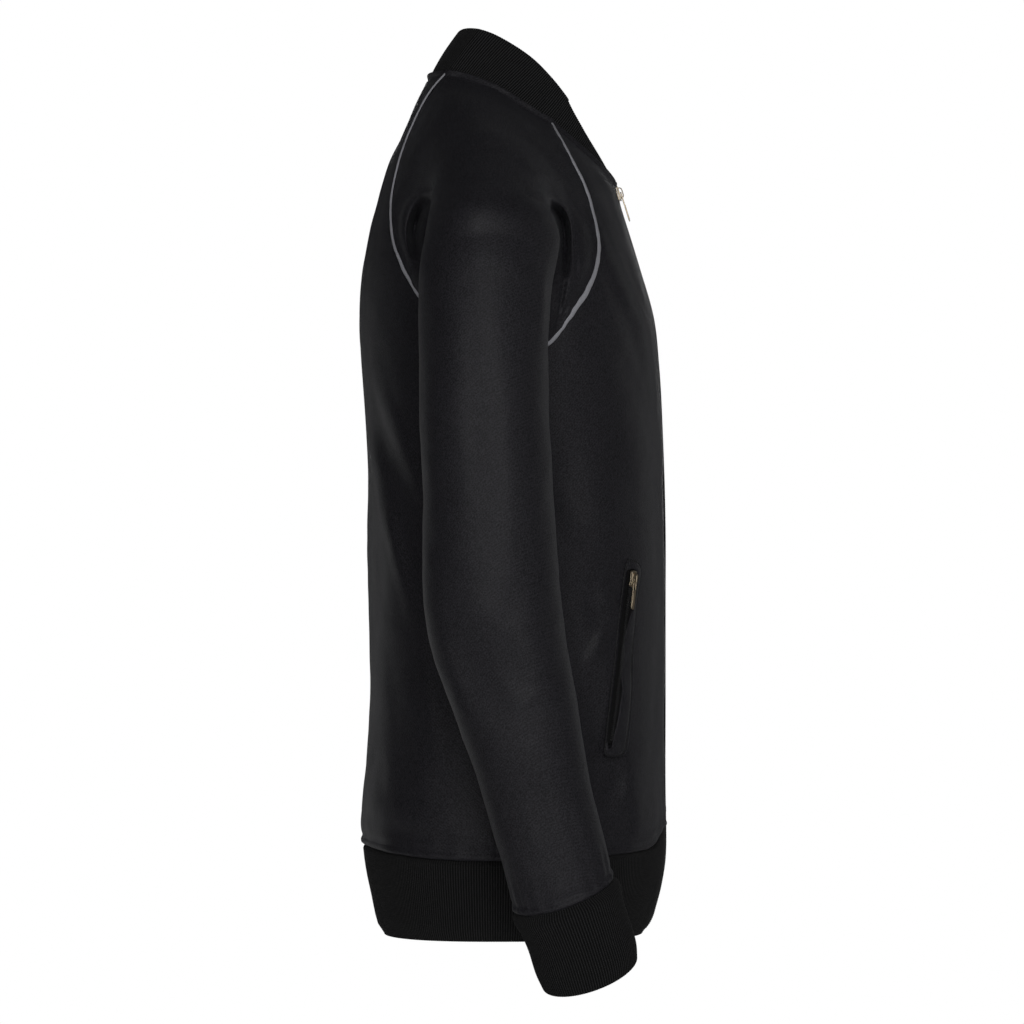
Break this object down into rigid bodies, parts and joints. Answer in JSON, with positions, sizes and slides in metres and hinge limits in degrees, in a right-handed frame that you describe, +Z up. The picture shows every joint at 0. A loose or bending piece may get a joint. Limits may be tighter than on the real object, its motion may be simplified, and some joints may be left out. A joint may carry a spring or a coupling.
{
  "type": "track jacket",
  "caption": "Worn, hollow track jacket with zipped front, stand rib collar, piped raglan sleeves, rib waistband and cuffs, and slanted zip pockets.",
  "frame": {"origin": "between the shoulders at the height of the neck points, on the centre plane, where the wearer's shoulders carry the jacket", "axes": "+Z up along the body, front towards -Y, the wearer's right towards -X"},
  "size_m": [0.5802, 0.2442, 0.7572],
  "materials": {
    "shell_knit": "smooth black warp knit with a satin sheen",
    "rib_knit": "matt black rib knit",
    "piping": "light grey corded piping",
    "zip_tape": "matt black woven tape with black teeth",
    "zip_metal": "polished pale metal"
  },
  "bodies": {
    "jacket": {"back": "shell_knit", "collar": "rib_knit", "cuff_left": "rib_knit", "cuff_right": "rib_knit", "front_left": "shell_knit", "front_right": "shell_knit", "front_slider": "zip_metal", "front_zip_left": "zip_tape", "front_zip_right": "zip_tape", "hem_rib": "rib_knit", "piping_back_left": "piping", "piping_back_right": "piping", "piping_front_left": "piping", "piping_front_right": "piping", "pocket_slider_left": "zip_metal", "pocket_slider_right": "zip_metal", "pocket_welt_left": "shell_knit", "pocket_welt_right": "shell_knit", "pocket_zip_left": "zip_tape", "pocket_zip_right": "zip_tape", "sleeve_left": "shell_knit", "sleeve_right": "shell_knit"},
    "front_pull": {"front_pull": "zip_metal"},
    "pocket_pull_right": {"pocket_pull_right": "zip_metal"},
    "pocket_pull_left": {"pocket_pull_left": "zip_metal"}
  },
  "joints": [
    {"name": "front_pull_hinge", "type": "hinge", "parent": "jacket", "child": "front_pull", "pos_m": [0, -0.11019, -0.08778], "axis": [-1, 0, 0], "range_deg": [0, 170]},
    {"name": "pocket_pull_right_hinge", "type": "hinge", "parent": "jacket", "child": "pocket_pull_right", "pos_m": [-0.12662, -0.11984, -0.39563], "axis": [-0.8112, 0.5625, 0.1598], "range_deg": [0, 170]},
    {"name": "pocket_pull_left_hinge", "type": "hinge", "parent": "jacket", "child": "pocket_pull_left", "pos_m": [0.12662, -0.11984, -0.39563], "axis": [-0.8112, -0.5625, -0.1598], "range_deg": [0, 170]}
  ]
}
